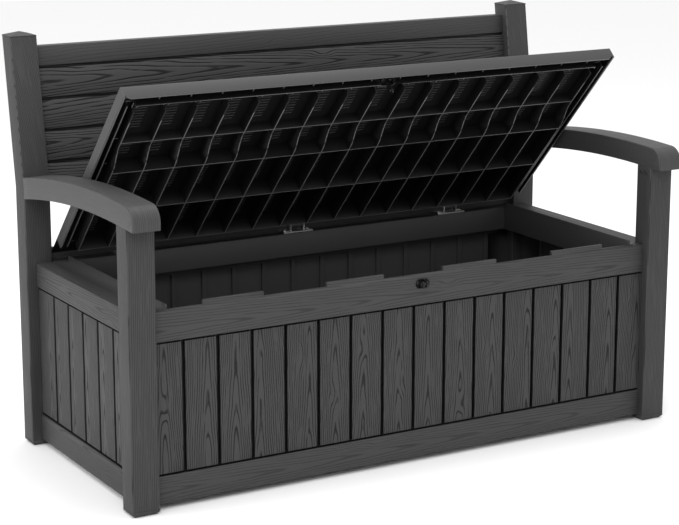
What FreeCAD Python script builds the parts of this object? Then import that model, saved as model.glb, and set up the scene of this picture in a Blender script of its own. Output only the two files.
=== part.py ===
"""Storage bench: a moulded-resin box bench whose seat is the hinged lid of the box.

Millimetres, +Z up, front towards -Y, +X to the right as seen from the front.
Everything is modelled with y = 0 at the front faces of the front posts and the lid closed.
save() then moves each piece to the part's own origin: the floor, under the middle of the bench.
"""
import FreeCAD
import Part
import math
import os

from FreeCAD import Vector

os.makedirs("parts", exist_ok=True)

# ---- overall sizes ----
LENGTH = 1330.0            # over the outer faces of the posts
BODY_DEPTH = 577.0         # front of the front posts to the back of the rear posts at the floor
POST_TOP = 894.0           # eaves of the rear posts
BOX_TOP = 410.0            # rail tops and ledges
RAIL_BOTTOM = 13.0         # the rails clear the floor by this much
SEAT_RISE = 27.0           # top of the closed lid above the rails

# ---- posts, caps and feet ----
POST_W = 60.0
POST_D = 49.0
POST_WALL = 4.0
POST_EDGE = 2.0            # chamfer of the posts' long edges
BEND_Z = 575.0             # the rear posts lean back above this height
LEAN = 0.15                # run of the lean per unit of height
CAP_RISE = 10.0
CAP_EAVE = 2.0
FOOT_H = 12.0
FOOT_CHAMFER = 6.0
SPIGOT = 18.0              # depth of the plugs that enter the hollow posts
SPIGOT_GAP = 0.3

# ---- walls: rails, planks and ledges ----
FRONT_INSET = 17.0         # rail faces behind the post faces, front and back
END_INSET = 22.0           # the same at the ends
RAIL_T = 9.0
PLANK_STEP = 3.5           # plank faces lie behind the rail faces
BOTTOM_RAIL_H = 58.0
TOP_RAIL_H = 62.0          # front and back
END_TOP_RAIL_H = 52.0
RAIL_EDGE = 1.5
GROOVE_W = 8.0
GROOVE_FLOOR_W = 6.0
GROOVE_D = 8.0
SHADOW_W = 4.0             # grooves between the planks' ends and the rails
SHADOW_D = 7.0
STIFFENER_W = 12.0         # ribs inside the wall, behind each groove
STIFFENER_D = 6.0
LEDGE_T = 5.0
UPSTAND_T = 8.0            # rear wall above the rail, behind the lid's rear edge
UPSTAND_INSET = 4.0
FLANGE_T = 4.0
FLANGE_DROP = 54.0
GUSSET_T = 3.0
LIP_H = 12.0               # end lips and front tabs, above BOX_TOP
FRONT_LIP_H = 3.0
END_LEDGE = 73.0           # rail face to the inner face of the end lip
CORNER_BOSS = 5.0          # half the width of a corner screw's boss
CORNER_SCREW_X = 14.0      # corner screws inside the posts' inner faces
CORNER_SCREW_Y = 5.0       # and behind the front wall
HINGE_BOSS = 5.0           # half the depth of the bosses under the hinges
BACK_LEDGE = 45.0
PANEL_PITCH = 77.0
TENON_L = 12.0
TENON_INSET = 20.0         # tenon ends above the foot of the bottom rail and under the top rail
TENON_GAP = 0.3
FLOOR_FLANGE = 10.0        # ledge that carries the floor panel
FLOOR_Z = 30.0

# ---- front tabs ----
TAB_L = 136.0
TAB_PITCH = 283.0
FRONT_LIP_T = 4.0
TAB_T = 8.0
TAB_EDGE = 1.2

# ---- floor panel ----
FLOOR_T = 4.0
FLOOR_GAP = 2.0
FLOOR_RIB_H = 14.0
FLOOR_RIB_T = 3.0
FLOOR_RIB_PITCH = 150.0
FLOOR_NOTCH_H = 50.0       # height of the cutters that notch the floor at the posts

# ---- armrests ----
ARM_T = 46.0
ARM_RADIUS = 2300.0
ARM_CROWN_Y = 125.0
ARM_CROWN_Z = 636.0
ARM_NOSE = 30.0            # overhang in front of the front post
ARM_NOSE_R = 34.0
ARM_WALL = 4.0
ARM_EDGE = 2.5
ARM_SPIGOT = 24.0          # reach of the cover's spigot into the front post
ARM_SCREW_DROP = 12.0      # screws below the top of the front post
ARM_SCREW_SPREAD = 9.0     # each side of the middle of the post
BOLT_SEAT_GAP = 0.1

# ---- backrest ----
BACKREST_TOP = 870.0
BACKREST_BOTTOM = 560.0
BACKREST_INSET = 19.0      # behind the front faces of the rear posts
BACKREST_SHELL = 12.0      # depth of each of its two shells
BACKREST_SKIN = 7.0
BACKREST_RIM = 8.0
BACKREST_RAIL_H = 41.0
BACKREST_PLANKS = 4
BACKREST_BAYS = 8          # hollows between its inner ribs
BACKREST_RIB_T = 3.0
BACKREST_GROOVE_D = 5.0
BACKREST_GROOVE_EDGE = 1.2
DOWEL_R = 6.0
DOWEL_L = 44.0
DOWEL_GAP = 0.1
DOWEL_INSET = 60.0         # dowels below the top and above the bottom of the backrest

# ---- lid ----
LID_GAP = 4.0              # to the inner faces of the posts
LID_FRONT = 21.0           # overhang in front of the front posts
LID_SKIN = 4.0
LID_SKIRT = 3.5
FRONT_SKIRT_H = 30.0
SEAT_REST_GAP = 0.3        # side skirts to the ledges, lid closed
LID_RIB = 2.4
NOSE_RIB_U = 31.0          # first long rib, behind the lid's front edge
ROW_U = (153.0, 237.0)     # the next two long ribs
LAST_ROW_GAP = 44.3        # last long rib to the hinge axis; one more stands halfway
RIB_DEPTH_FRONT = 27.0     # depths below the seat top
RIB_DEPTH_BACK = 40.0
DEPTH_CHANGE_U = (165.0, 228.0)
RIB_PITCH = 70.5
SIDE_FRAME_INSET = 16.0    # side ribs, inside the side skirts
RIB_CLEAR = 2.0            # ribs to the front lip, tabs and end lips
STRIP_RIB_DEPTH = 15.0
STRIP_RIB_SHIFT = 18.0
SEAT_PLANKS = 8
SEAT_GROOVE_W = 6.0
SEAT_GROOVE_D = 1.8
SEAT_EDGE = 2.5
APRON_CORNER = 15.0        # corners taken off the front skirt, as wide as this
APRON_CORNER_RISE = 0.7    # and this share as high

# ---- hinges ----
HINGE_BACK = 42.7          # hinge axis in front of the back of the rear posts
HINGE_BELOW = 8.0          # hinge axis under the seat top, also the knuckles' radius
HINGE_X = (-420.0, 0.0, 420.0)
KNUCKLE_L = 30.0
PIN_R = 3.5
PIN_RUN_GAP = 0.05
BUSH_R = 5.5
BRACKET_T = 3.0
BRACKET_W = 16.0
BRACKET_L = 76.0
BRACKET_SCREW_X = 30.0     # screws each side of the middle of a bracket
BRACKET_D = 27.0
BRACKET_GAP = 0.5          # knuckle to bracket ear
HINGE_NOTCH = 11.0         # width of the lid's notches for the ears and the pin's ends
NOTCH_DEPTH = 3.0          # notches in front of the knuckles
KNUCKLE_WEB = 6.0          # web in front of the knuckles
PIN_HEAD = 2.0             # head beyond the pin's radius
PIN_HEAD_T = 2.5
PIN_TAIL = 5.0             # pin beyond the outer ear
PIN_NECK = 1.0             # depth of the clip's groove, and its distance from the ear
CLIP_RIM = 2.5             # clip beyond the pin's radius
CLIP_T = 1.0
CLIP_GAP = 0.1
OPEN_ANGLE = 46.5          # how far the lid stands open at rest

# ---- lock ----
LOCK_X = 19.0
LOCK_DROP = 17.0           # lock's axis below the rail tops
LOCK_W = 36.0
LOCK_H = 23.0
LOCK_WALL = 2.0
LOCK_FIT = 0.2
EYE_Y = 9.5                # shackle hole in front of the rail
EYE_R = 3.5
LUG_R = 6.5
LUG_T = 3.5
TONGUE_T = 3.0
TONGUE_GAP = 1.5           # each side of the tongue, between the lugs
LATCH_BOSS_W = 26.0
LATCH_BOSS_D = 22.0
LATCH_BOSS_H = 8.0
LATCH_FLANGE_T = 2.0
LATCH_SCREW_X = 8.0        # each side of the tongue
LOCK_HOLE_R = 3.7          # hole in the tongue
LOCK_POCKET_BACK = 4.0     # pocket wall behind the rail face
LOCK_POCKET_SIDE = 5.0     # room beside the pocket without strip ribs

# ---- screws ----
SCREW_R = 2.0
SCREW_HEAD_R = 4.2
SCREW_HEAD_H = 2.2
SCREW_L = 14.0
SCREW_GAP = 0.2            # round a screw where it passes a plate
BOLT_R = 3.0
BOLT_HEAD_R = 6.0
BOLT_HEAD_H = 3.5
BOLT_HEAD_EDGE = 1.5
BOLT_BITE = 8.0            # bolt inside the armrest's end
HEAD_ROUND = 0.6           # share of a screw head's height that is rounded
RECESS_L = 5.0             # cross recess of the pan heads
RECESS_W = 1.0
RECESS_D = 0.6

# ---- places worked out from the sizes above ----
SEAT_TOP = BOX_TOP + SEAT_RISE
LOCK_Z = BOX_TOP - LOCK_DROP
HALF = LENGTH / 2
INNER = HALF - POST_W                       # inner faces of the posts
REAR_Y = BODY_DEPTH - POST_D                # front faces of the rear posts
BACK_Y = BODY_DEPTH - FRONT_INSET           # outer rail face of the back panel
END_X = HALF - END_INSET                    # outer rail face of the end panels
BACK_FLANGE_Y = BACK_Y - BACK_LEDGE
LIP_X = END_X - END_LEDGE                   # inner faces of the end lips
HINGE_Y = BODY_DEPTH - HINGE_BACK
HINGE_Z = SEAT_TOP - HINGE_BELOW
LID_HALF = INNER - LID_GAP
LID_REAR = HINGE_Y + HINGE_BELOW
LAST_ROW_U = HINGE_Y + LID_FRONT - LAST_ROW_GAP
RIBS_PER_SIDE = int((LID_HALF - SIDE_FRAME_INSET - LID_RIB) / RIB_PITCH)
FRONT_WALL_IN = FRONT_INSET + RAIL_T
TOP_BACK_Y = BODY_DEPTH + LEAN * (POST_TOP - BEND_Z)
ORIGIN_Y = (TOP_BACK_Y - ARM_NOSE) / 2


# ---- shape helpers ----
def box(x0, x1, y0, y1, z0, z1):
    return Part.makeBox(x1 - x0, y1 - y0, z1 - z0, Vector(x0, y0, z0))


def rod(start, direction, radius, length):
    return Part.makeCylinder(radius, length, Vector(*start), Vector(*direction))


def prism(points, direction):
    """Solid from a closed outline of points, swept along a direction."""
    outline = [Vector(*p) for p in points]
    face = Part.Face(Part.makePolygon(outline + outline[:1]))
    return face.extrude(Vector(*direction))


def yz_prism(points, x0, x1):
    return prism([(x0, y, z) for y, z in points], (x1 - x0, 0, 0))


def union(shapes):
    return shapes[0].multiFuse(shapes[1:]).removeSplitter()


def mirror_x(shape):
    return shape.mirror(Vector(0, 0, 0), Vector(1, 0, 0))


def open_lid(shape):
    """Turn a piece of the lid from closed to the angle at which it is stored."""
    turned = shape.copy()
    turned.rotate(Vector(0, HINGE_Y, HINGE_Z), Vector(-1, 0, 0), OPEN_ANGLE)
    return turned


def save(name, shape):
    placed = shape.copy()
    placed.translate(Vector(0, -ORIGIN_Y, 0))
    if not placed.isValid():
        print("INVALID", name)
    placed.exportStep("parts/" + name + ".step")
    print(f"{name:26s} solids {len(placed.Solids):3d}  volume {placed.Volume / 1000:9.1f} cm3")


def post_front(z):
    """Y of a rear post's front face at height z."""
    return REAR_Y + LEAN * max(0.0, z - BEND_Z)


# ---- posts, caps and feet ----
def long_edges(shape, min_length):
    """Edges that run up the post, the sloping ones included."""
    found = []
    for edge in shape.Edges:
        run = edge.lastVertex().Point - edge.firstVertex().Point
        if abs(run.z) > min_length and abs(run.x) < 0.01:
            found.append(edge)
    return found


def post_outline(front, inset, z0, z1):
    """Side outline of a post; front gives the front face's y at a height."""
    heights = [z0, z1]
    if front is post_front:
        heights = [z0, BEND_Z, z1]
    rise = [(front(z) + inset, z) for z in heights]
    return rise + [(front(z) + POST_D - inset, z) for z in reversed(heights)]


def hollow_post(front, top):
    """Left post: tube from the foot plug to its top."""
    outer = yz_prism(post_outline(front, 0.0, FOOT_H, top), -HALF, -INNER)
    outer = outer.makeChamfer(POST_EDGE, long_edges(outer, 100.0))
    bore = post_outline(front, POST_WALL, FOOT_H, top)
    return outer.cut(yz_prism(bore, -HALF + POST_WALL, -INNER - POST_WALL))


def plug(y_front, z0, z1, gap):
    """Block that fills the bore of a left post with a gap all round."""
    inset = POST_WALL + gap
    return box(-HALF + inset, -INNER - inset, y_front + inset, y_front + POST_D - inset, z0, z1)


def cut_cornered(y_front, inset, z):
    """Wire round a left post with its corners taken off, drawn in by an inset."""
    x0, x1 = -HALF + inset, -INNER - inset
    y0, y1 = y_front + inset, y_front + POST_D - inset
    e = POST_EDGE
    points = [(x0 + e, y0), (x1 - e, y0), (x1, y0 + e), (x1, y1 - e)]
    points += [(x1 - e, y1), (x0 + e, y1), (x0, y1 - e), (x0, y0 + e)]
    corners = [Vector(x, y, z) for x, y in points]
    return Part.makePolygon(corners + corners[:1])


def foot_plug(y_front):
    """Chamfered foot under a left post, with a spigot up into it."""
    sole = Part.makeLoft(
        [cut_cornered(y_front, FOOT_CHAMFER, 0.0), cut_cornered(y_front, 0.0, FOOT_CHAMFER)], True, True
    )
    band = Part.Face(cut_cornered(y_front, 0.0, FOOT_CHAMFER)).extrude(Vector(0, 0, FOOT_H - FOOT_CHAMFER))
    return union([sole, band, plug(y_front, FOOT_H - 1.0, FOOT_H + SPIGOT, SPIGOT_GAP)])


def post_cap():
    """Low pyramid on a left rear post, with a spigot down into it."""
    y0 = post_front(POST_TOP)
    eave = box(-HALF, -INNER, y0, y0 + POST_D, POST_TOP, POST_TOP + CAP_EAVE)
    corners = [(-HALF, y0), (-INNER, y0), (-INNER, y0 + POST_D), (-HALF, y0 + POST_D)]
    base = [Vector(x, y, POST_TOP + CAP_EAVE) for x, y in corners]
    apex = Vector(-HALF + POST_W / 2, y0 + POST_D / 2, POST_TOP + CAP_RISE)
    faces = [Part.Face(Part.makePolygon(base + base[:1]))]
    for i in range(4):
        faces.append(Part.Face(Part.makePolygon([base[i], base[(i + 1) % 4], apex, base[i]])))
    roof = Part.Solid(Part.Shell(faces))
    inset = POST_WALL + SPIGOT_GAP
    low = post_front(POST_TOP - SPIGOT)
    spigot = yz_prism(
        [
            (low + inset, POST_TOP - SPIGOT),
            (low + POST_D - inset, POST_TOP - SPIGOT),
            (y0 + POST_D - inset, POST_TOP + 1.0),
            (y0 + inset, POST_TOP + 1.0),
        ],
        -HALF + inset,
        -INNER - inset,
    )
    return union([eave, roof, spigot])


# ---- walls of the box, built flat: x along the wall, outer rail face at y = 0, inside at +y ----
def groove(x, z0, z1, depth_at):
    """Upright groove between two planks, wide at the face and narrow at its floor."""
    half = GROOVE_W / 2
    floor = GROOVE_FLOOR_W / 2
    outline = [
        (x - half, depth_at - 1.0, z0),
        (x + half, depth_at - 1.0, z0),
        (x + half, depth_at, z0),
        (x + floor, depth_at + GROOVE_D, z0),
        (x - floor, depth_at + GROOVE_D, z0),
        (x - half, depth_at, z0),
    ]
    return prism(outline, (0, 0, z1 - z0))


def groove_places(half):
    """Middle planks share one pitch; the two end planks take what is left."""
    planks = round(2 * half / PANEL_PITCH)
    return [PANEL_PITCH * (i - planks / 2) for i in range(1, planks)]


def tenon_z():
    return RAIL_BOTTOM + TENON_INSET, BOX_TOP - TOP_RAIL_H - TENON_INSET


def tenons(half, gap):
    """Tongues at both ends of a wall; with a gap they make the slots for them."""
    z0, z1 = tenon_z()
    y0 = PLANK_STEP - gap
    y1 = RAIL_T + gap
    left = box(-half - TENON_L - gap, -half + 1.0, y0, y1, z0 - gap, z1 + gap)
    right = box(half - 1.0, half + TENON_L + gap, y0, y1, z0 - gap, z1 + gap)
    return [left, right]


def rail_edges(rail):
    """The two long edges of a rail's outer face."""
    long = rail.BoundBox.XLength / 2
    return [e for e in rail.Edges if e.BoundBox.YMax < 0.01 and e.BoundBox.XLength > long]


def plank_wall(half, top_rail_h):
    """Two rails and a grooved skin, with stiffeners, tenons and the floor's flange."""
    plank_z0 = RAIL_BOTTOM + BOTTOM_RAIL_H
    plank_z1 = BOX_TOP - top_rail_h
    bottom = box(-half, half, 0, RAIL_T, RAIL_BOTTOM, plank_z0)
    top = box(-half, half, 0, RAIL_T, plank_z1, BOX_TOP)
    skin = box(-half, half, PLANK_STEP, RAIL_T, plank_z0 - 1.0, plank_z1 + 1.0)
    bottom, top = [rail.makeChamfer(RAIL_EDGE, rail_edges(rail)) for rail in (bottom, top)]
    places = groove_places(half)
    cuts = [groove(x, plank_z0, plank_z1, PLANK_STEP) for x in places]
    half_rib = STIFFENER_W / 2
    back = RAIL_T + STIFFENER_D
    rib_top = BOX_TOP - LEDGE_T
    foot = FLOOR_Z + FLOOR_T + FLOOR_GAP
    ribs = [box(x - half_rib, x + half_rib, RAIL_T - 1.0, back, foot, rib_top) for x in places]
    for z in (plank_z0, plank_z1 - SHADOW_W):
        cuts.append(box(-half - 1, half + 1, PLANK_STEP - 1, PLANK_STEP + SHADOW_D, z, z + SHADOW_W))
        middle = z + SHADOW_W / 2
        ribs.append(box(-half, half, RAIL_T - 1.0, back, middle - half_rib, middle + half_rib))
    flange = box(-half, half, RAIL_T - 1.0, RAIL_T + FLOOR_FLANGE, FLOOR_Z - LEDGE_T, FLOOR_Z)
    wall = union([skin, flange] + ribs).cut(union(cuts))
    return union([bottom, top, wall] + tenons(half, 0.0))


def gussets(half, reach):
    """Thin webs that tie a ledge's flange to its plate, one behind each groove."""
    y0, y1 = RAIL_T + STIFFENER_D, reach - FLANGE_T / 2
    z0 = BOX_TOP - FLANGE_DROP
    half_t = GUSSET_T / 2
    return [box(x - half_t, x + half_t, y0, y1, z0, BOX_TOP - 1) for x in groove_places(half)]


def front_place(shape):
    moved = shape.copy()
    moved.translate(Vector(0, FRONT_INSET, 0))
    return moved


def back_place(shape):
    turned = shape.copy()
    turned.rotate(Vector(0, 0, 0), Vector(0, 0, 1), 180)
    turned.translate(Vector(0, BACK_Y, 0))
    return turned


def left_end_place(shape):
    turned = shape.copy()
    turned.rotate(Vector(0, 0, 0), Vector(0, 0, 1), -90)
    turned.translate(Vector(-END_X, (POST_D + REAR_Y) / 2, 0))
    return turned


def lock_outline(width, height, y0, y1):
    """Stadium-shaped prism on the lock's axis."""
    r = height / 2
    straight = width / 2 - r
    middle = box(LOCK_X - straight, LOCK_X + straight, y0, y1, LOCK_Z - r, LOCK_Z + r)
    ends = [rod((LOCK_X + s * straight, y0, LOCK_Z), (0, 1, 0), r, y1 - y0) for s in (-1, 1)]
    return union([middle] + ends)


def corner_screw_places():
    """Screws that hold the end ledges down on the front panel's bosses."""
    x, y = INNER - CORNER_SCREW_X, FRONT_WALL_IN + CORNER_SCREW_Y
    return [(-x, y), (x, y)]


def crest_edges(tab):
    """The two long edges along a tab's top."""
    crest = [e for e in tab.Edges if e.BoundBox.ZMin > tab.BoundBox.ZMax - 0.01]
    return [e for e in crest if e.BoundBox.XLength > TAB_T]


def front_panel():
    wall = front_place(plank_wall(INNER, TOP_RAIL_H))
    lip_y = FRONT_WALL_IN - FRONT_LIP_T
    lip_x = LID_HALF - SIDE_FRAME_INSET - LID_RIB - RIB_CLEAR
    pieces = [wall, box(-lip_x, lip_x, lip_y, FRONT_WALL_IN, BOX_TOP - 1.0, BOX_TOP + FRONT_LIP_H)]
    for i in range(4):
        x = (i - 1.5) * TAB_PITCH
        tab = box(x - TAB_L / 2, x + TAB_L / 2, lip_y, lip_y + TAB_T, BOX_TOP - 1.0, BOX_TOP + LIP_H)
        pieces.append(tab.makeChamfer(TAB_EDGE, crest_edges(tab)))
    boss_top = BOX_TOP - LEDGE_T
    foot = boss_top - SCREW_L - LEDGE_T
    r = CORNER_BOSS
    for x, y in corner_screw_places():
        pieces.append(box(x - r, x + r, FRONT_WALL_IN - 1.0, y + r, foot, boss_top))
    panel = union(pieces)
    panel = panel.cut(lock_outline(LOCK_W, LOCK_H, FRONT_INSET - 5, FRONT_WALL_IN + STIFFENER_D + 5))
    for x, y in corner_screw_places():
        panel = panel.cut(rod((x, y, boss_top - SCREW_L), (0, 0, 1), SCREW_R, SCREW_L + 1))
    return panel


def back_panel():
    """Rear wall; an upstand on its rail closes the gap behind the lid."""
    wall = plank_wall(INNER, TOP_RAIL_H)
    y0 = UPSTAND_INSET
    upstand = box(-INNER, INNER, y0, y0 + UPSTAND_T, BOX_TOP, SEAT_TOP)
    return back_place(union([wall, upstand]))


def back_ledge():
    """Ledge inside the rear wall that carries the hinges, with a flange that stiffens it."""
    plate = box(-INNER, INNER, RAIL_T, BACK_LEDGE, BOX_TOP - LEDGE_T, BOX_TOP)
    flange = box(-INNER, INNER, BACK_LEDGE - FLANGE_T, BACK_LEDGE, BOX_TOP - FLANGE_DROP, BOX_TOP)
    pieces = [plate, flange] + gussets(INNER, BACK_LEDGE)
    half = BRACKET_L / 2
    y0, y1 = BACK_Y - HINGE_Y - HINGE_BOSS, BACK_Y - HINGE_Y + HINGE_BOSS
    foot = BOX_TOP - SCREW_L
    for x in HINGE_X:
        pieces.append(box(x - half, x + half, y0, y1, foot - 2, BOX_TOP - 1))
    ledge = back_place(union(pieces))
    holes = [rod((x, HINGE_Y, foot), (0, 0, 1), SCREW_R, SCREW_L + 1) for x in bracket_screw_places()]
    return ledge.cut(union(holes))


def end_half():
    return (REAR_Y - POST_D) / 2


def end_ledge():
    """Left end's wide ledge: a plate between the posts, a longer one inside them, and a standing lip."""
    z0 = BOX_TOP - LEDGE_T
    y0, y1 = FRONT_WALL_IN, BACK_FLANGE_Y
    pieces = [
        box(-END_X + RAIL_T, -INNER, POST_D, REAR_Y, z0, BOX_TOP),
        box(-INNER - 1.0, -LIP_X, y0, y1, z0, BOX_TOP),
        box(-LIP_X - FLANGE_T, -LIP_X, y0, y1, BOX_TOP - FLANGE_DROP, BOX_TOP + LIP_H),
    ]
    pieces += [left_end_place(w) for w in gussets(end_half(), END_LEDGE)]
    posts = [box(-HALF, -INNER, y, y + POST_D, 0, BOX_TOP + 1) for y in (0.0, REAR_Y)]
    ledge = union(pieces).cut(union(posts))
    x, y = corner_screw_places()[0]
    ledge = ledge.cut(rod((x, y, z0 - 1), (0, 0, 1), SCREW_R + SCREW_GAP, LEDGE_T + 2))
    head = Part.makeCone(SCREW_R, SCREW_HEAD_R, SCREW_HEAD_H, Vector(x, y, BOX_TOP - SCREW_HEAD_H))
    return ledge.cut(head)


def floor_panel():
    """Plate on the walls' flanges, notched at the posts, ribbed beneath."""
    x1 = END_X - RAIL_T - FLOOR_GAP
    y0 = FRONT_WALL_IN + FLOOR_GAP
    y1 = BACK_Y - RAIL_T - FLOOR_GAP
    plate = box(-x1, x1, y0, y1, FLOOR_Z, FLOOR_Z + FLOOR_T)
    rib_x = INNER - FLOOR_FLANGE - FLOOR_GAP
    rib_y0 = FRONT_WALL_IN + FLOOR_FLANGE + FLOOR_GAP
    rib_y1 = BACK_Y - RAIL_T - FLOOR_FLANGE - FLOOR_GAP
    pieces = [plate]
    count = int(rib_x // FLOOR_RIB_PITCH)
    for i in range(-count, count + 1):
        x = i * FLOOR_RIB_PITCH
        pieces.append(box(x, x + FLOOR_RIB_T, rib_y0, rib_y1, FLOOR_Z - FLOOR_RIB_H, FLOOR_Z + 1.0))
    for y in (rib_y0, (rib_y0 + rib_y1) / 2, rib_y1 - FLOOR_RIB_T):
        pieces.append(box(-rib_x, rib_x, y, y + FLOOR_RIB_T, FLOOR_Z - FLOOR_RIB_H, FLOOR_Z + 1.0))
    panel = union(pieces)
    gap = FLOOR_GAP
    for y in (0.0, REAR_Y):
        notch = box(-HALF, -INNER + gap, y - gap, y + POST_D + gap, 0, FLOOR_NOTCH_H)
        panel = panel.cut(notch).cut(mirror_x(notch))
    return panel


def with_slots(post, side):
    """Cut the slots for the tenons of the two walls that meet this left post."""
    wall = tenons(INNER, TENON_GAP)
    end = tenons(end_half(), TENON_GAP)
    if side == "front":
        cuts = [front_place(wall[0]), left_end_place(end[1])]
    else:
        cuts = [back_place(wall[1]), left_end_place(end[0])]
    return post.cut(union(cuts))


# ---- armrests ----
def arm_arc_z(y, depth):
    """Height of the armrest's top arc at y, or of the arc that lies a depth beneath it."""
    r = ARM_RADIUS - depth
    return ARM_CROWN_Z - ARM_RADIUS + math.sqrt(r * r - (y - ARM_CROWN_Y) ** 2)


def arm_rear_point(x, depth, inset):
    """Where an arc of the armrest meets the rear post's front face."""
    y = REAR_Y
    for _ in range(12):
        y = post_front(arm_arc_z(y, depth)) - inset
    return Vector(x, y, arm_arc_z(y, depth))


def arm_arc(x, y0, y1, depth):
    middle = (y0 + y1) / 2
    ends = [Vector(x, y, arm_arc_z(y, depth)) for y in (y0, middle, y1)]
    return Part.Arc(*ends).toShape()


def arm_body(top, bottom, nose, x0, x1, inset):
    """Curved board between two concentric arcs, its rear end shaped to the leaning post."""
    upper = arm_rear_point(x0, top, inset)
    lower = arm_rear_point(x0, bottom, inset)
    rear = [lower, upper]
    if lower.z < BEND_Z < upper.z:
        rear = [lower, Vector(x0, REAR_Y - inset, BEND_Z), upper]
    front = [Vector(x0, -nose, arm_arc_z(-nose, depth)) for depth in (top, bottom)]
    edges = [Part.makeLine(a, b) for a, b in zip(rear, rear[1:])]
    edges.append(arm_arc(x0, upper.y, -nose, top))
    edges.append(Part.makeLine(*front))
    edges.append(arm_arc(x0, -nose, lower.y, bottom))
    return Part.Face(Part.Wire(edges)).extrude(Vector(x1 - x0, 0, 0))


def nose_edge(shape, nose):
    """The edge across the top of the armrest's nose."""
    top = max(e.BoundBox.ZMax for e in shape.Edges if e.BoundBox.YMax < -nose + 0.01)
    return [e for e in shape.Edges if e.BoundBox.YMax < -nose + 0.01 and e.BoundBox.ZMin > top - 0.01]


def arm_rim(shape):
    """The curved upper edges along both sides, nose included."""
    rim = []
    for edge in shape.Edges:
        middle = edge.CenterOfMass
        along = edge.BoundBox.XLength < 0.01 and edge.BoundBox.YLength > ARM_NOSE_R / 2
        if along and middle.z > arm_arc_z(middle.y, ARM_T / 2):
            rim.append(edge)
    return rim


def armrest():
    """Left armrest: hollow, open beneath."""
    outer = arm_body(0.0, ARM_T, ARM_NOSE, -HALF, -INNER, 0.0)
    outer = outer.makeFillet(ARM_NOSE_R, nose_edge(outer, ARM_NOSE))
    outer = outer.makeFillet(ARM_EDGE, arm_rim(outer))
    t = ARM_WALL
    inner = arm_body(t, ARM_T + 1.0, ARM_NOSE - t, -HALF + t, -INNER - t, t)
    inner = inner.makeFillet(ARM_NOSE_R - t, nose_edge(inner, ARM_NOSE - t))
    shell = outer.cut(inner)
    return shell.cut(arm_bolt(BOLT_R))


def armrest_cover():
    """Left armrest's underside, with a spigot down into the front post."""
    gap = SPIGOT_GAP
    inset = ARM_WALL + gap
    plate = arm_body(ARM_T - ARM_WALL, ARM_T, ARM_NOSE - inset, -HALF + inset, -INNER - inset, inset)
    spigot = plug(0.0, front_post_top() - ARM_SPIGOT, arm_arc_z(0, ARM_T) + 1.0, gap)
    cover = union([plate, spigot])
    for place in arm_screw_places():
        cover = cover.cut(rod(place, (-1, 0, 0), SCREW_R, SCREW_L + POST_WALL))
    return cover


def front_post_top():
    """The front post stops under the armrest's hanging sides."""
    return arm_arc_z(POST_D, ARM_T) - 1.0


def front_post_cutter():
    """Everything above the armrest's underside, so that the post meets its arc."""
    return arm_body(-50.0, ARM_T, ARM_NOSE + 20.0, -HALF - 1, -INNER + 1, 0.0)


def arm_bolt_seat():
    """Centre of the bolt's seat: just clear of the leaning face behind the post."""
    z = arm_arc_z(REAR_Y, ARM_T / 2)
    return Vector(-HALF + POST_W / 2, post_front(z + BOLT_HEAD_R) + POST_D + BOLT_SEAT_GAP, z)


def arm_bolt(radius):
    """Bolt along Y through the rear post into the armrest's end, left side."""
    seat = arm_bolt_seat()
    length = seat.y - REAR_Y + ARM_WALL + BOLT_BITE
    return Part.makeCylinder(radius, length, seat, Vector(0, -1, 0))


def arm_screw_places():
    """Start points of the screws through the front post's inner face into the spigot."""
    z = front_post_top() - ARM_SCREW_DROP
    return [(-INNER, POST_D / 2 + side * ARM_SCREW_SPREAD, z) for side in (-1, 1)]


# ---- backrest ----
def backrest_front(z):
    return post_front(z) + BACKREST_INSET


def backrest_layer(depth0, depth1, z0, z1, half):
    """Leaning slab between two depths behind the backrest's front face."""
    heights = [z0, z1]
    if z0 < BEND_Z < z1:
        heights = [z0, BEND_Z, z1]
    outline = [(backrest_front(z) + depth0, z) for z in heights]
    outline += [(backrest_front(z) + depth1, z) for z in reversed(heights)]
    return yz_prism(outline, -half, half)


def backrest_grooves():
    """Heights of the grooves: one under the rail, the rest between planks."""
    span = BACKREST_TOP - BACKREST_RAIL_H - BACKREST_BOTTOM
    pitch = span / BACKREST_PLANKS
    return [BACKREST_TOP - BACKREST_RAIL_H - i * pitch for i in range(BACKREST_PLANKS)]


def backrest_shell(rear):
    """One half of the hollow backrest; the rear half has the same planks on the other face."""
    depth = BACKREST_SHELL
    face = depth * 2 if rear else 0.0
    seam = depth
    near, far = min(face, seam), max(face, seam)
    shell = backrest_layer(near, far, BACKREST_BOTTOM, BACKREST_TOP, INNER)
    inside = abs(face - BACKREST_SKIN)
    low, high = min(inside, seam), max(inside, seam)
    pocket_z = (BACKREST_BOTTOM + BACKREST_RIM, BACKREST_TOP - BACKREST_RIM)
    shell = shell.cut(backrest_layer(low, high, pocket_z[0], pocket_z[1], INNER - BACKREST_RIM))
    for z in backrest_grooves():
        foot = z - GROOVE_W
        for d, narrower in ((BACKREST_GROOVE_D, 1.0), (BACKREST_GROOVE_EDGE, 0.0)):
            near, far = (face - d, face + 1) if rear else (face - 1, face + d)
            shell = shell.cut(backrest_layer(near, far, foot + narrower, z - narrower, INNER + 1))
    rear_side = (0.0, 0.5) if rear else (0.5, 0.0)
    ribs = []
    pitch = 2 * INNER / BACKREST_BAYS
    z0, z1 = pocket_z[0] - 1, pocket_z[1] + 1
    for i in range(1, BACKREST_BAYS):
        rib = backrest_layer(low - rear_side[0], high + rear_side[1], z0, z1, BACKREST_RIB_T / 2)
        rib.translate(Vector(-INNER + i * pitch, 0, 0))
        ribs.append(rib)
    return union([shell] + ribs).cut(union(dowels(DOWEL_GAP)))


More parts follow.
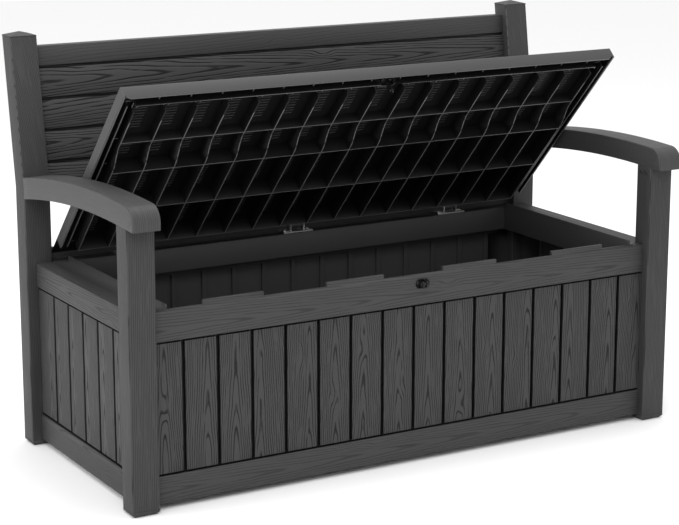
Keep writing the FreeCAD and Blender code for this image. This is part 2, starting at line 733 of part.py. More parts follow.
def dowels(gap):
    """Pins along X that join the backrest's ends to the rear posts, both sides."""
    pins = []
    for z in (BACKREST_BOTTOM + DOWEL_INSET, BACKREST_TOP - DOWEL_INSET):
        y = backrest_front(z) + BACKREST_SHELL
        for side in (-1, 1):
            x = side * INNER - DOWEL_L / 2
            pins.append(rod((x - gap, y, z), (1, 0, 0), DOWEL_R + gap, DOWEL_L + 2 * gap))
    return pins


# ---- lid, built closed ----
def rib_depth(u):
    """Depth of the ribs below the seat top at a distance u behind the lid's front edge."""
    start, end = DEPTH_CHANGE_U
    share = min(1.0, max(0.0, (u - start) / (end - start)))
    ease = share * share * (3 - 2 * share)
    return RIB_DEPTH_FRONT + (RIB_DEPTH_BACK - RIB_DEPTH_FRONT) * ease


def notch_span():
    """Where the cross ribs rise over the front wall, as distances behind the lid's front edge."""
    tab_back = FRONT_WALL_IN - FRONT_LIP_T + TAB_T
    return FRONT_INSET + LID_FRONT - RIB_CLEAR, tab_back + LID_FRONT + RIB_CLEAR


def shallow_z():
    """Ribs that cross a lip or a tab stay above this height."""
    return BOX_TOP + LIP_H + RIB_CLEAR


def cross_rib(x):
    """Rib from front to back, with an S-curve in its lower edge and a notch over the front wall."""
    u0, u1 = notch_span()
    steps = 8
    start, end = DEPTH_CHANGE_U
    curve = [start + (end - start) * i / steps for i in range(steps + 1)]
    outline = [(NOSE_RIB_U, SEAT_TOP - RIB_DEPTH_FRONT)]
    outline += [(u0, SEAT_TOP - RIB_DEPTH_FRONT), (u0, shallow_z()), (u1, shallow_z())]
    outline += [(u, SEAT_TOP - rib_depth(u)) for u in [u1] + curve + [LAST_ROW_U]]
    top = SEAT_TOP - LID_SKIN / 2
    outline += [(LAST_ROW_U, top), (NOSE_RIB_U, top)]
    return yz_prism([(u - LID_FRONT, z) for u, z in outline], x - LID_RIB / 2, x + LID_RIB / 2)


def row_rib(u, depth):
    """Long rib along the lid, shallow where it passes over the end lips."""
    y = u - LID_FRONT
    last = RIBS_PER_SIDE * RIB_PITCH + LID_RIB / 2
    side = LID_HALF - SIDE_FRAME_INSET
    top = SEAT_TOP - LID_SKIN / 2
    deep = box(-last, last, y - LID_RIB / 2, y + LID_RIB / 2, SEAT_TOP - depth, top)
    shallow = box(-side, side, y - LID_RIB / 2, y + LID_RIB / 2, shallow_z(), top)
    return [deep, shallow]


def pocket_x():
    return LOCK_X - LOCK_W / 2, LOCK_X + LOCK_W / 2


def latch_pocket():
    """U-shaped wall that carries the front rib round the latch tongue."""
    x0, x1 = pocket_x()
    front = NOSE_RIB_U - LID_FRONT
    back = FRONT_INSET + LOCK_POCKET_BACK
    bottom = BOX_TOP + FRONT_LIP_H + RIB_CLEAR
    top = SEAT_TOP - LID_SKIN / 2
    t = LID_RIB
    walls = [box(x - t / 2, x + t / 2, front - t / 2, back, bottom, top) for x in (x0, x1)]
    walls.append(box(x0 - t / 2, x1 + t / 2, back - t, back, bottom, top))
    return walls


def latch_boss():
    x0, y0 = LOCK_X - LATCH_BOSS_W / 2, EYE_Y - LATCH_BOSS_D / 2
    top = SEAT_TOP - LID_SKIN / 2
    return box(x0, x0 + LATCH_BOSS_W, y0, y0 + LATCH_BOSS_D, latch_flange_z(), top)


def latch_flange_z():
    return SEAT_TOP - LID_SKIN - LATCH_BOSS_H


def lid_panel():
    skin = box(-LID_HALF, LID_HALF, -LID_FRONT, LID_REAR, SEAT_TOP - LID_SKIN, SEAT_TOP)
    rim = [e for e in skin.Edges if e.BoundBox.ZMin > SEAT_TOP - 0.01 and e.BoundBox.YMin < LID_REAR - 1]
    skin = skin.makeFillet(SEAT_EDGE, rim)
    pitch = (LID_REAR + LID_FRONT) / SEAT_PLANKS
    for i in range(1, SEAT_PLANKS):
        y = -LID_FRONT + i * pitch
        y0, y1 = y - SEAT_GROOVE_W / 2, y + SEAT_GROOVE_W / 2
        skin = skin.cut(box(-LID_HALF - 1, LID_HALF + 1, y0, y1, SEAT_TOP - SEAT_GROOVE_D, SEAT_TOP + 1))
    top = SEAT_TOP - LID_SKIN / 2
    front_low = SEAT_TOP - FRONT_SKIRT_H
    side_low = BOX_TOP + SEAT_REST_GAP
    apron = box(-LID_HALF, LID_HALF, -LID_FRONT, -LID_FRONT + LID_SKIRT, front_low, SEAT_TOP - SEAT_EDGE)
    corner = APRON_CORNER
    for side in (-1, 1):
        x = side * LID_HALF
        wedge = [(x, -LID_FRONT - 1, front_low), (x - side * corner, -LID_FRONT - 1, front_low)]
        wedge.append((x, -LID_FRONT - 1, front_low + corner * APRON_CORNER_RISE))
        apron = apron.cut(prism(wedge, (0, LID_SKIRT + 2, 0)))
    pieces = [skin, apron]
    end = LAST_ROW_U - LID_FRONT
    for side in (-1, 1):
        x = side * (LID_HALF - LID_SKIRT / 2)
        pieces.append(box(x - LID_SKIRT / 2, x + LID_SKIRT / 2, -LID_FRONT, end + LID_RIB, side_low,
                          SEAT_TOP - SEAT_EDGE))
        x = side * (LID_HALF - SIDE_FRAME_INSET)
        pieces.append(box(x - LID_RIB / 2, x + LID_RIB / 2, NOSE_RIB_U - LID_FRONT, end, side_low, top))
    nose_x = pocket_x()
    nose = row_rib(NOSE_RIB_U, RIB_DEPTH_FRONT)
    gap = box(nose_x[0], nose_x[1], -LID_FRONT + LID_SKIRT + 1, NOSE_RIB_U, 0, SEAT_TOP - LID_SKIN)
    pieces += [rib.cut(gap) for rib in nose]
    for u in ROW_U + ((ROW_U[-1] + LAST_ROW_U) / 2, LAST_ROW_U):
        pieces += row_rib(u, rib_depth(u))
    for i in range(-RIBS_PER_SIDE, RIBS_PER_SIDE + 1):
        pieces.append(cross_rib(i * RIB_PITCH))
    for i in range(-RIBS_PER_SIDE + 1, RIBS_PER_SIDE + 1):
        x = i * RIB_PITCH - STRIP_RIB_SHIFT
        if not nose_x[0] - LOCK_POCKET_SIDE < x < nose_x[1] + LOCK_POCKET_SIDE:
            pieces.append(box(x - LID_RIB / 2, x + LID_RIB / 2, -LID_FRONT + LID_SKIRT - 1,
                              NOSE_RIB_U - LID_FRONT, SEAT_TOP - STRIP_RIB_DEPTH, top))
    pieces += latch_pocket() + [latch_boss()]
    pieces += [knuckle(x) for x in HINGE_X]
    lid = union(pieces)
    cuts = []
    for x in HINGE_X:
        cuts.append(rod((x - KNUCKLE_L, HINGE_Y, HINGE_Z), (1, 0, 0), BUSH_R, KNUCKLE_L * 2))
        for side in (-1, 1):
            inner = x + side * KNUCKLE_L / 2
            outer = inner + side * HINGE_NOTCH
            y0 = HINGE_Y - HINGE_BELOW - NOTCH_DEPTH
            cuts.append(box(min(inner, outer), max(inner, outer), y0, LID_REAR + 1, BOX_TOP, SEAT_TOP + 1))
    for x, y in latch_screw_places():
        cuts.append(rod((x, y, latch_flange_z() - 1), (0, 0, 1), SCREW_R, LATCH_BOSS_H + 2.5))
    return lid.cut(union(cuts))


def knuckle(x):
    """Barrel round the hinge axis, tied into the lid's rear edge."""
    half = KNUCKLE_L / 2
    barrel = rod((x - half, HINGE_Y, HINGE_Z), (1, 0, 0), HINGE_BELOW, KNUCKLE_L)
    y0 = HINGE_Y - HINGE_BELOW - KNUCKLE_WEB
    web = box(x - half, x + half, y0, HINGE_Y, HINGE_Z - BUSH_R + 0.5, SEAT_TOP - LID_SKIN / 2)
    return union([barrel, web])


# ---- hinge hardware ----
def bracket_screw_places():
    return [x + side * BRACKET_SCREW_X for x in HINGE_X for side in (-1, 1)]


def ear_places(x):
    """Inner and outer faces of the two ears at a hinge."""
    inner = KNUCKLE_L / 2 + BRACKET_GAP
    return [(x - inner - BRACKET_T, x - inner), (x + inner, x + inner + BRACKET_T)]


def hinge_bracket(x):
    y0 = HINGE_Y - BRACKET_D / 2
    base = box(x - BRACKET_L / 2, x + BRACKET_L / 2, y0, y0 + BRACKET_D, BOX_TOP, BOX_TOP + BRACKET_T)
    pieces = [base]
    for x0, x1 in ear_places(x):
        pieces.append(box(x0, x1, HINGE_Y - BRACKET_W / 2, HINGE_Y + BRACKET_W / 2, BOX_TOP + 1, HINGE_Z))
        pieces.append(rod((x0, HINGE_Y, HINGE_Z), (1, 0, 0), BRACKET_W / 2, x1 - x0))
    bracket = union(pieces)
    bore = rod((x - BRACKET_L, HINGE_Y, HINGE_Z), (1, 0, 0), PIN_R + PIN_RUN_GAP, BRACKET_L * 2)
    holes = [rod((hole_x, HINGE_Y, BOX_TOP - 1), (0, 0, 1), SCREW_R + SCREW_GAP, BRACKET_T + 2)
             for hole_x in (x - BRACKET_SCREW_X, x + BRACKET_SCREW_X)]
    return bracket.cut(union([bore] + holes))


def hinge_pin(x):
    """Headed pin with a groove for its clip."""
    start, end = ear_places(x)[0][0], ear_places(x)[1][1]
    neck_w = CLIP_T + 2 * CLIP_GAP
    shank = rod((start - 1.0, HINGE_Y, HINGE_Z), (1, 0, 0), PIN_R, end - start + 1.0 + PIN_TAIL)
    head_x = start - PIN_HEAD_T - 2 * CLIP_GAP
    head = rod((head_x, HINGE_Y, HINGE_Z), (1, 0, 0), PIN_R + PIN_HEAD, PIN_HEAD_T)
    neck = rod((end + PIN_NECK, HINGE_Y, HINGE_Z), (1, 0, 0), PIN_R + 1, neck_w)
    neck = neck.cut(rod((end + PIN_NECK, HINGE_Y, HINGE_Z), (1, 0, 0), PIN_R - PIN_NECK, neck_w))
    return union([shank, head]).cut(neck)


def pin_clip(x):
    """Open ring snapped into the pin's groove."""
    end = ear_places(x)[1][1]
    start = (end + PIN_NECK + CLIP_GAP, HINGE_Y, HINGE_Z)
    ring = rod(start, (1, 0, 0), PIN_R + CLIP_RIM, CLIP_T)
    ring = ring.cut(rod(start, (1, 0, 0), PIN_R - PIN_NECK + CLIP_GAP, CLIP_T))
    mouth = box(end, end + PIN_TAIL, HINGE_Y, HINGE_Y + 2 * PIN_R, HINGE_Z - 2.0, HINGE_Z + 2.0)
    return ring.cut(mouth)


def hinge_bush(x):
    half = KNUCKLE_L / 2
    tube = rod((x - half, HINGE_Y, HINGE_Z), (1, 0, 0), BUSH_R, KNUCKLE_L)
    return tube.cut(rod((x - half, HINGE_Y, HINGE_Z), (1, 0, 0), PIN_R + PIN_RUN_GAP, KNUCKLE_L))


# ---- screws ----
def pan_screw(top, length, down=(0, 0, -1)):
    """Pan-head screw; top is the centre of the seat under its head."""
    direction = Vector(*down)
    base = Vector(*top)
    shank = Part.makeCylinder(SCREW_R, length, base, direction)
    head = Part.makeCylinder(SCREW_HEAD_R, SCREW_HEAD_H, base - direction * SCREW_HEAD_H, direction)
    rim = [e for e in head.Edges if (e.CenterOfMass - base).dot(direction) < -SCREW_HEAD_H + 0.01]
    head = head.makeFillet(SCREW_HEAD_H * HEAD_ROUND, rim)
    arm, half = RECESS_L / 2, RECESS_W / 2
    cross = box(-arm, arm, -half, half, -RECESS_D, RECESS_D)
    cross = cross.fuse(box(-half, half, -arm, arm, -RECESS_D, RECESS_D))
    turn = FreeCAD.Rotation(Vector(0, 0, 1), direction)
    cross.Placement = FreeCAD.Placement(base - direction * SCREW_HEAD_H, turn)
    return union([shank, head]).cut(cross)


def bracket_screws():
    return [pan_screw((x, HINGE_Y, BOX_TOP + BRACKET_T), SCREW_L) for x in bracket_screw_places()]


def corner_screws():
    """Countersunk screws in the end ledges, flush with them."""
    screws = []
    for x, y in corner_screw_places():
        head = Part.makeCone(SCREW_R, SCREW_HEAD_R, SCREW_HEAD_H, Vector(x, y, BOX_TOP - SCREW_HEAD_H))
        shank = rod((x, y, BOX_TOP - LEDGE_T - SCREW_L), (0, 0, 1), SCREW_R, SCREW_L + LEDGE_T - 1.0)
        slot = box(x - 3, x + 3, y - 0.6, y + 0.6, BOX_TOP - 1.0, BOX_TOP + 1)
        screws.append(union([head, shank]).cut(slot))
    return screws


def armrest_screws():
    screws = [pan_screw(place, SCREW_L, (-1, 0, 0)) for place in arm_screw_places()]
    return screws + [mirror_x(s) for s in screws]


def armrest_bolts():
    seat = arm_bolt_seat()
    head = Part.makeCylinder(BOLT_HEAD_R, BOLT_HEAD_H, seat, Vector(0, 1, 0))
    rim = [e for e in head.Edges if e.BoundBox.YMin > seat.y + BOLT_HEAD_H - 0.01]
    bolt = union([arm_bolt(BOLT_R), head.makeFillet(BOLT_HEAD_EDGE, rim)])
    return [bolt, mirror_x(bolt)]


# ---- lock ----
def lug_gap():
    return TONGUE_T / 2 + TONGUE_GAP


def lock_eye():
    """Bowl in the front rail with two lugs, pierced for a padlock's shackle."""
    width, height = LOCK_W - 2 * LOCK_FIT, LOCK_H - 2 * LOCK_FIT
    bowl = lock_outline(width, height, FRONT_INSET, FRONT_WALL_IN)
    inner_w, inner_h = width - 2 * LOCK_WALL, height - 2 * LOCK_WALL
    pieces = [bowl.cut(lock_outline(inner_w, inner_h, FRONT_INSET - 1, FRONT_WALL_IN - LOCK_WALL))]
    for side in (-1, 1):
        x0 = LOCK_X + side * lug_gap()
        x1 = x0 + side * LUG_T
        low, high = min(x0, x1), max(x0, x1)
        pieces.append(box(low, high, EYE_Y, FRONT_WALL_IN - 1, LOCK_Z - LUG_R, LOCK_Z + LUG_R))
        pieces.append(rod((low, EYE_Y, LOCK_Z), (1, 0, 0), LUG_R, LUG_T))
    eye = union(pieces)
    return eye.cut(rod((LOCK_X - 15, EYE_Y, LOCK_Z), (1, 0, 0), EYE_R, 30))


def latch_screw_places():
    return [(LOCK_X - LATCH_SCREW_X, EYE_Y), (LOCK_X + LATCH_SCREW_X, EYE_Y)]


def latch_tongue():
    """Blade with a shackle hole, hung from a flange under the lid."""
    z = latch_flange_z()
    flange_x = LOCK_X - LATCH_BOSS_W / 2
    y0, y1 = EYE_Y - LUG_R, EYE_Y + LUG_R
    flange = box(flange_x, flange_x + LATCH_BOSS_W, y0, y1, z - LATCH_FLANGE_T, z)
    x0 = LOCK_X - TONGUE_T / 2
    blade = box(x0, x0 + TONGUE_T, y0, y1, LOCK_Z, z - 1.0)
    tip = rod((x0, EYE_Y, LOCK_Z), (1, 0, 0), LUG_R, TONGUE_T)
    cuts = [rod((x0 - 1, EYE_Y, LOCK_Z), (1, 0, 0), LOCK_HOLE_R, TONGUE_T + 2)]
    for x, y in latch_screw_places():
        cuts.append(rod((x, y, z - LATCH_FLANGE_T - 1), (0, 0, 1), SCREW_R + SCREW_GAP, LATCH_FLANGE_T + 2))
    return union([flange, blade, tip]).cut(union(cuts))


def latch_screws():
    z = latch_flange_z() - LATCH_FLANGE_T
    length = LATCH_BOSS_H + LATCH_FLANGE_T
    return [pan_screw((x, y, z), length, (0, 0, 1)) for x, y in latch_screw_places()]


# ---- build and save every piece ----
def save_pair(name, shape):
    save(name + "_left", shape)
    save(name + "_right", mirror_x(shape))


front_post = hollow_post(lambda z: 0.0, ARM_CROWN_Z).cut(front_post_cutter())
front_post = with_slots(front_post, "front")
for place in arm_screw_places():
    front_post = front_post.cut(rod(place, (-1, 0, 0), SCREW_R + SCREW_GAP, POST_WALL + 1))
save_pair("front_post", front_post)

rear_post = with_slots(hollow_post(post_front, POST_TOP), "rear")
rear_post = rear_post.cut(union([arm_bolt(BOLT_R + SCREW_GAP)] + dowels(DOWEL_GAP)))
save_pair("rear_post", rear_post)
save_pair("post_cap", post_cap())
save_pair("foot_front", foot_plug(0.0))
save_pair("foot_rear", foot_plug(REAR_Y))

save("front_panel", front_panel())
save("back_panel", back_panel())
save("back_ledge", back_ledge())
save_pair("end_panel", left_end_place(plank_wall(end_half(), END_TOP_RAIL_H)))
save_pair("end_ledge", end_ledge())
save("floor_panel", floor_panel())

save_pair("armrest", armrest())
save_pair("armrest_cover", armrest_cover())
save("backrest_front_shell", backrest_shell(False))
save("backrest_rear_shell", backrest_shell(True))
save("backrest_dowels", Part.makeCompound(dowels(0.0)))

save("lid_panel", open_lid(lid_panel()))
for label, hinge_x in zip(("left", "middle", "right"), HINGE_X):
    save("hinge_bracket_" + label, hinge_bracket(hinge_x))
    save("hinge_pin_" + label, hinge_pin(hinge_x))
    save("hinge_bush_" + label, open_lid(hinge_bush(hinge_x)))
save("pin_clips", Part.makeCompound([pin_clip(x) for x in HINGE_X]))
save("bracket_screws", Part.makeCompound(bracket_screws()))

save("lock_eye", lock_eye())
save("latch_tongue", open_lid(latch_tongue()))
save("latch_screws", open_lid(Part.makeCompound(latch_screws())))
save("corner_screws", Part.makeCompound(corner_screws()))
save("armrest_screws", Part.makeCompound(armrest_screws()))
save("armrest_bolts", Part.makeCompound(armrest_bolts()))
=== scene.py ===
"""Storage bench: resin box with plank-look walls, curved armrests, boarded backrest, open seat lid."""
import math

import bmesh
import bpy
from mathutils import Matrix, Vector


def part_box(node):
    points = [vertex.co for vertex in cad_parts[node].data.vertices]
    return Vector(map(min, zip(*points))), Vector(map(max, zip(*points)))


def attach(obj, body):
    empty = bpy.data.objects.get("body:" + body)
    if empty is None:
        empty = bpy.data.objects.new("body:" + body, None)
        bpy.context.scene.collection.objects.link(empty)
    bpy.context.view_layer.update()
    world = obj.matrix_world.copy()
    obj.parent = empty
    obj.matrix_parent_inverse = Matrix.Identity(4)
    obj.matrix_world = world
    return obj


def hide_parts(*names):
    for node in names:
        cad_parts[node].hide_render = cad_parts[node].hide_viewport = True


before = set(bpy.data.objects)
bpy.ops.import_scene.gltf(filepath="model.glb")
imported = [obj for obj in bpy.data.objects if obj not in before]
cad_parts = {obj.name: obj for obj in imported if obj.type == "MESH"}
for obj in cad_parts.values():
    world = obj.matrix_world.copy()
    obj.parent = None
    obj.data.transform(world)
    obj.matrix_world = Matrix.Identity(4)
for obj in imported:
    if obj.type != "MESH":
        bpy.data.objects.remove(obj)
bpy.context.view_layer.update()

# ---- Camera, light and floor ----
# The bench stands on a plain pale floor in soft studio light, seen from its front left corner
# at chest height.
scene = bpy.context.scene
scene.view_settings.view_transform = "Standard"
camera_data = bpy.data.cameras.new("camera")
camera_data.sensor_width = 36.0
camera_data.lens = 108.296907
camera_data.clip_end = 60.0
camera = bpy.data.objects.new("camera", camera_data)
camera.location = (-2.2260, -3.8055, 1.4231)
camera.rotation_euler = (math.radians(76.730), 0.0, math.radians(-30.093))
scene.collection.objects.link(camera)
scene.camera = camera


def grey(level):
    """Neutral colour of one brightness."""
    return (level, level, level, 1.0)


world = bpy.data.worlds.new("studio")
scene.world = world
world.use_nodes = True
world.node_tree.nodes["Background"].inputs["Color"].default_value = grey(1.0)
world.node_tree.nodes["Background"].inputs["Strength"].default_value = 1.0


def soft_light(name, place, target, size, watts):
    """Large rectangular lamp facing a target."""
    data = bpy.data.lights.new(name, "AREA")
    data.shape = "RECTANGLE"
    data.size, data.size_y = size
    data.energy = watts
    lamp = bpy.data.objects.new(name, data)
    lamp.location = place
    lamp.rotation_euler = (Vector(target) - Vector(place)).to_track_quat("-Z", "Y").to_euler()
    scene.collection.objects.link(lamp)


soft_light("key_light", (-2.2, -2.9, 3.4), (0.0, 0.0, 0.4), size=(2.2, 1.6), watts=68.0)
soft_light("side_light", (-3.6, 0.2, 2.0), (0.0, 0.0, 0.5), size=(1.6, 1.6), watts=46.0)
soft_light("top_light", (0.6, 0.2, 3.6), (0.0, 0.0, 0.4), size=(2.6, 1.8), watts=60.0)

FLOOR_REACH, FLOOR_WHITE, FLOOR_ROUGHNESS = 9.0, 0.92, 0.9
floor_corners = [(-FLOOR_REACH, -FLOOR_REACH, 0.0), (FLOOR_REACH, -FLOOR_REACH, 0.0),
                 (FLOOR_REACH, FLOOR_REACH, 0.0), (-FLOOR_REACH, FLOOR_REACH, 0.0)]
floor_mesh = bpy.data.meshes.new("studio_floor")
floor_mesh.from_pydata(floor_corners, [], [(0, 1, 2, 3)])
studio_floor = bpy.data.objects.new("studio_floor", floor_mesh)
scene.collection.objects.link(studio_floor)
floor_paint = bpy.data.materials.new("studio_floor")
floor_paint.use_nodes = True
floor_shader = floor_paint.node_tree.nodes["Principled BSDF"]
floor_shader.inputs["Base Color"].default_value = grey(FLOOR_WHITE)
floor_shader.inputs["Roughness"].default_value = FLOOR_ROUGHNESS
floor_mesh.materials.append(floor_paint)


# ---- Front wall ----
# One moulding: two rails with a skin of sixteen upright planks between them, a raised lip along the
# top and four tabs that line the lid up. The resin is graphite grey with wood grain pressed into it.
class Wire:
    """An output in a node tree; arithmetic on it adds Math nodes."""

    def __init__(self, workings, socket):
        self.workings, self.socket = workings, socket

    def math(self, operation, *values):
        """Add one Math node on the values."""
        return self.workings.node("ShaderNodeMath", {"operation": operation}, dict(enumerate(values)))

    def __add__(self, other):
        return self.math("ADD", self, other)

    def __sub__(self, other):
        return self.math("SUBTRACT", self, other)

    def __rsub__(self, other):
        return self.math("SUBTRACT", other, self)

    def __mul__(self, other):
        return self.math("MULTIPLY", self, other)

    def __truediv__(self, other):
        return self.math("DIVIDE", self, other)

    def __rtruediv__(self, other):
        return self.math("DIVIDE", other, self)

    def __neg__(self):
        return 0.0 - self

    def __abs__(self):
        return self.math("ABSOLUTE", self)

    __radd__, __rmul__ = __add__, __mul__

    def above(self, limit):
        """1 above the limit, 0 below it."""
        return self.math("GREATER_THAN", self, limit)

    def below(self, limit):
        """1 below the limit, 0 above it."""
        return self.math("LESS_THAN", self, limit)

    def larger(self, other):
        """The larger of two values."""
        return self.math("MAXIMUM", self, other)

    def smaller(self, other):
        """The smaller of two values."""
        return self.math("MINIMUM", self, other)

    def root(self):
        """Square root."""
        return self.math("SQRT", self)

    def fraction(self):
        """What is left over the whole number below."""
        return self.math("FRACT", self)

    def whole(self):
        """The whole number below."""
        return self.math("FLOOR", self)

    def faded(self, low, high):
        """Smooth step from 0 at low to 1 at high."""
        settings = {"interpolation_type": "SMOOTHSTEP", "clamp": True}
        stops = {0: self, 1: low, 2: high, 3: 0.0, 4: 1.0}
        return self.workings.node("ShaderNodeMapRange", settings, stops)


class Workings:
    """A node tree, to which one method adds the nodes."""

    def __init__(self, tree):
        self.tree = tree

    def feed(self, socket, value):
        """Link a Wire to an input, or set a plain value on it."""
        if isinstance(value, Wire):
            self.tree.links.new(value.socket, socket)
        else:
            socket.default_value = value

    def node(self, kind, settings=None, values=None, output=0):
        """Add a node: its settings first, then the values or links of its inputs."""
        made = self.tree.nodes.new(kind)
        for name, value in (settings or {}).items():
            setattr(made, name, value)
        for key, value in (values or {}).items():
            self.feed(made.inputs[key], value)
        return Wire(self, made.outputs[output]) if made.outputs else None


class Finish(Workings):
    """A material with one Principled shader; x, y, z are a point in metres, nx, ny, nz its facing."""

    SPECULAR = 0.3

    def __init__(self, name):
        self.material = bpy.data.materials.new(name)
        self.material.use_nodes = True
        super().__init__(self.material.node_tree)
        self.shader = self.tree.nodes["Principled BSDF"]
        self.place = self.node("ShaderNodeTexCoord", output="Object")
        self.x, self.y, self.z = self.parts(self.place)
        self.nx, self.ny, self.nz = self.parts(self.node("ShaderNodeTexCoord", output="Normal"))

    def parts(self, vector):
        """The three numbers of a vector."""
        return [self.node("ShaderNodeSeparateXYZ", {}, {0: vector}, axis) for axis in range(3)]

    def vector(self, x, y, z):
        """A vector from three numbers."""
        return self.node("ShaderNodeCombineXYZ", {}, {0: x, 1: y, 2: z})

    def noise(self, vector, scale=1.0, detail=2.0, rough=0.5):
        """Cloudy noise from 0 to 1."""
        values = {"Vector": vector, "Scale": scale, "Detail": detail, "Roughness": rough}
        return self.node("ShaderNodeTexNoise", {}, values)

    def chance(self, value):
        """A fixed random number from 0 to 1 for each whole value."""
        return self.node("ShaderNodeTexWhiteNoise", {"noise_dimensions": "1D"}, {"W": value})

    def blend(self, factor, low, high):
        """A colour between two colours."""
        return self.node("ShaderNodeMix", {"data_type": "RGBA"}, {0: factor, 6: low, 7: high}, 2)

    def apply(self, colour, roughness, height, depth):
        """Set the shader's colour, roughness and relief, a height from 0 to 1 times depth in metres."""
        bump = self.node("ShaderNodeBump", {}, {"Strength": 1.0, "Distance": depth, "Height": height})
        for key, value in (("Base Color", colour), ("Roughness", roughness), ("Normal", bump)):
            self.feed(self.shader.inputs[key], value)
        self.shader.inputs["Specular IOR Level"].default_value = self.SPECULAR
        return self.material


# Three noises sway and break the lines; their cycles per metre run along a board, then across it.
FLOW, RIPPLE, GAPS = (5.5, 22.0), (24.0, 60.0), (14.0, 180.0)
RIPPLE_STRENGTH, SLIDE_IN_FLOW = 0.7, 9.0
ARCH_SHIFT, ARCH_ROUNDING = 0.05, 0.00005
KNOT_SHIFT_ALONG, KNOT_SHIFT_ACROSS, KNOT_RADIUS = 0.5, 0.03, 0.014
KNOT_FLATTENING, KNOT_STRENGTH = 0.10, 1.3
LINE_EDGE, GAP_EDGE = (0.55, 0.92), (0.28, 0.50)


def wood_grain(f, along, across, board, spacing, arch, wander, seed, stretch=1.0):
    """Pressed grain, 0 on the ridges and 1 in the lines: nested arches that wander along each board."""
    def drawn(step, offset):
        """A random number from 0 to 1 for each board."""
        return f.chance(board * step + seed + offset)

    side = across + (drawn(1.7, 0.0) - 0.5) * ARCH_SHIFT
    slide = drawn(2.3, 11.0)
    knot_along = along + (drawn(3.1, 5.0) - 0.5) * KNOT_SHIFT_ALONG
    knot_across = across + (drawn(4.7, 7.0) - 0.5) * KNOT_SHIFT_ACROSS
    from_knot = (knot_along * knot_along * KNOT_FLATTENING + knot_across * knot_across).root()
    knot = 1.0 - from_knot.faded(0.0, KNOT_RADIUS)
    flow_along = along * (FLOW[0] / stretch) + slide * SLIDE_IN_FLOW
    flow = f.noise(f.vector(flow_along, across * FLOW[1], board * 3.7 + seed))
    ripple_along = along * (RIPPLE[0] / stretch)
    ripple = f.noise(f.vector(ripple_along, across * RIPPLE[1], board * 2.9 + seed), detail=1.0)
    rings = (side * side + ARCH_ROUNDING).root() / spacing + (along + slide) / arch
    rings = rings + (flow - 0.5) * wander + (ripple - 0.5) * RIPPLE_STRENGTH + knot * KNOT_STRENGTH
    ridge = abs(rings.fraction() - 0.5) * 2.0
    gaps = f.noise(f.vector(along * GAPS[0], across * GAPS[1], board * 1.3 + seed))
    return ridge.faded(*LINE_EDGE) * gaps.faded(*GAP_EDGE)


def skin_texture(f):
    """The fine matt stipple of moulded resin."""
    return f.noise(f.place, scale=900.0, rough=0.6)


# The third colour is painted shade, the near black laid into the grooves.
RIDGE_GREY, LINE_GREY, GROOVE_SHADE_GREY = (0.0395, 0.0395, 0.0400, 1.0), grey(0.0035), grey(0.0030)
CLOUD_SCALE, CLOUD_STRENGTH, CLOUD_SHADE = 6.0, 0.3, 0.72
RESIN_ROUGHNESS, LINE_ROUGHNESS, STIPPLE_ROUGHNESS = 0.50, 0.2, 0.08
STIPPLE_HEIGHT = 0.10


def resin(f, line, depth, ridge=RIDGE_GREY, contrast=0.92, groove_shade=None):
    """Graphite resin whose pressed lines are darker and rougher than its ridges; painted shade makes it
    near black in the masked grooves.
    """
    shaded = tuple(part * CLOUD_SHADE for part in ridge[:3]) + (1.0,)
    cloud = f.noise(f.place, CLOUD_SCALE, detail=3.0).faded(0.2, 0.8)
    colour = f.blend(line * contrast, f.blend(cloud * CLOUD_STRENGTH, ridge, shaded), LINE_GREY)
    # Painted shade: the masked grooves are coloured near black.
    if groove_shade is not None:
        colour = f.blend(groove_shade, colour, GROOVE_SHADE_GREY)
    roughness = RESIN_ROUGHNESS + line * LINE_ROUGHNESS + skin_texture(f) * STIPPLE_ROUGHNESS
    return f.apply(colour, roughness, (1.0 - line) + skin_texture(f) * STIPPLE_HEIGHT, depth)


WELD_DISTANCE, FLAT_ANGLE = 0.00002, math.radians(0.6)


def eased(node, name, ease, shortest=0.012, sharp=32.0):
    """Welded copy of a CAD node, its longer outer edges rounded by ease as a mould leaves them."""
    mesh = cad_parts[node].data.copy()
    mesh.materials.clear()
    form = bmesh.new()
    form.from_mesh(mesh)
    bmesh.ops.remove_doubles(form, verts=form.verts, dist=WELD_DISTANCE)
    bmesh.ops.dissolve_limit(form, angle_limit=FLAT_ANGLE, verts=form.verts, edges=form.edges)
    chosen = [edge for edge in form.edges
              if len(edge.link_faces) == 2 and edge.is_convex and edge.calc_length() > shortest
              and edge.calc_face_angle() > math.radians(sharp)]
    bmesh.ops.bevel(form, geom=chosen, offset=ease, offset_type="OFFSET", segments=2, profile=0.5,
                    affect="EDGES", clamp_overlap=True, loop_slide=True)
    bmesh.ops.triangulate(form, faces=[face for face in form.faces if len(face.verts) > 4])
    for face in form.faces:
        face.smooth = True
    form.to_mesh(mesh)
    form.free()
    mesh.set_sharp_from_angle(angle=math.radians(sharp))
    piece = bpy.data.objects.new(name, mesh)
    scene.collection.objects.link(piece)
    return piece


def fit_piece(node, name, material, slot, body="frame", **easing):
    """Eased copy of a CAD node that stands for it."""
    piece = eased(node, name, **easing)
    piece.data.materials.append(material)
    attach(piece, body)
    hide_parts(node)


PLANK_PITCH, PLANK_TOP, PLANK_FOOT, PLANK_MIDDLE = 0.077, 0.348, 0.071, 0.21
TOP_RAIL_MIDDLE, FOOT_RAIL_MIDDLE, BETWEEN_RAILS = 0.379, 0.042, 0.2
UPRIGHT_GROOVE_HALF, LEVEL_GROOVE_HALF, LEVEL_GROOVE_INSET, GROOVE_START = 0.0046, 0.0026, 0.002, 0.0037
RAIL_LINE_STRENGTH, PLANKS_BEFORE_MIDDLE = 0.5, 20.0


